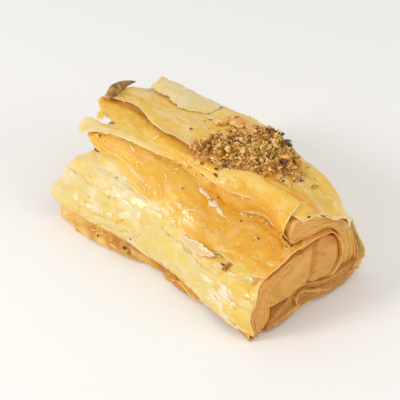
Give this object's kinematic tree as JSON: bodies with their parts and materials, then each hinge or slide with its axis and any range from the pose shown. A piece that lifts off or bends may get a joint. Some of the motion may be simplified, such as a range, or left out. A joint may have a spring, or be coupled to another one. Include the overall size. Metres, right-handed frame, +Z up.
{
  "type": "baklava piece",
  "caption": "Folded, flaky phyllo pastry piece with a smooth filling, chopped nuts scattered on top and a long pistachio kernel on one corner; a single serving that rests on its flat base.",
  "frame": {"origin": "centre of the flat base the piece rests on", "axes": "+X along the piece towards the cut end that shows the filling's rounded end, -Y towards the open side where the leaves fan out, +Z up"},
  "size_m": [0.081, 0.0484, 0.0369],
  "materials": {
    "pastry": "syrup-soaked baked phyllo, pale straw to golden, thin flaky sheets with browned edges",
    "filling": "set cream and semolina filling, tan, smooth and slightly moist",
    "chopped_nut": "dry chopped nuts, tan to brown with green and dark skinned bits",
    "pistachio": "green-brown pistachio kernel with papery skin"
  },
  "bodies": {
    "root": {"pastry": "pastry", "filling": "filling", "nut_heap": "chopped_nut", "pistachio_kernel": "pistachio"}
  },
  "joints": []
}
